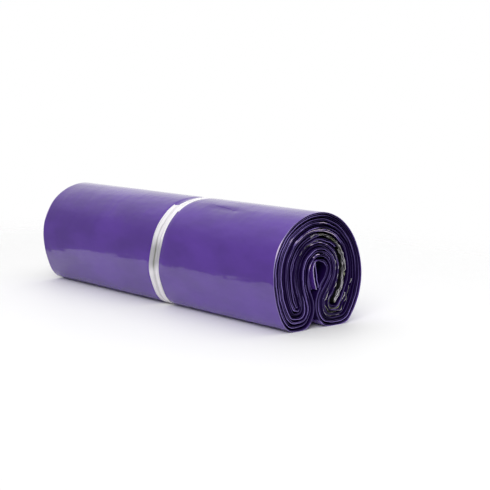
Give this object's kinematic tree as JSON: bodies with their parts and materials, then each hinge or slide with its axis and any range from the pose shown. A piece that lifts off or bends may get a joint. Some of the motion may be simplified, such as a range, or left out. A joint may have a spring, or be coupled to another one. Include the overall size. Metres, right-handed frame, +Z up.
{
  "type": "rolled pack of poly mailer bags",
  "caption": "Pack of flat plastic mailing bags, coiled, squeezed into a horseshoe section and tied round its middle with a band of clear tape.",
  "frame": {"origin": "on the floor under the middle of the coil", "axes": "+X along the coil to the end that shows, +Y to the right of that end seen from outside, +Z up through the crown, cleft down"},
  "size_m": [0.305, 0.0848, 0.0829],
  "materials": {
    "purple_film": "glossy polyethylene film, purple outside",
    "clear_tape": "clear packing tape, bunched and whitish",
    "liner_film": "translucent grey release liner"
  },
  "bodies": {
    "root": {"bag_roll": "purple_film", "tape_band": "clear_tape", "release_liner_1": "liner_film", "release_liner_2": "liner_film", "release_liner_3": "liner_film"}
  },
  "joints": []
}
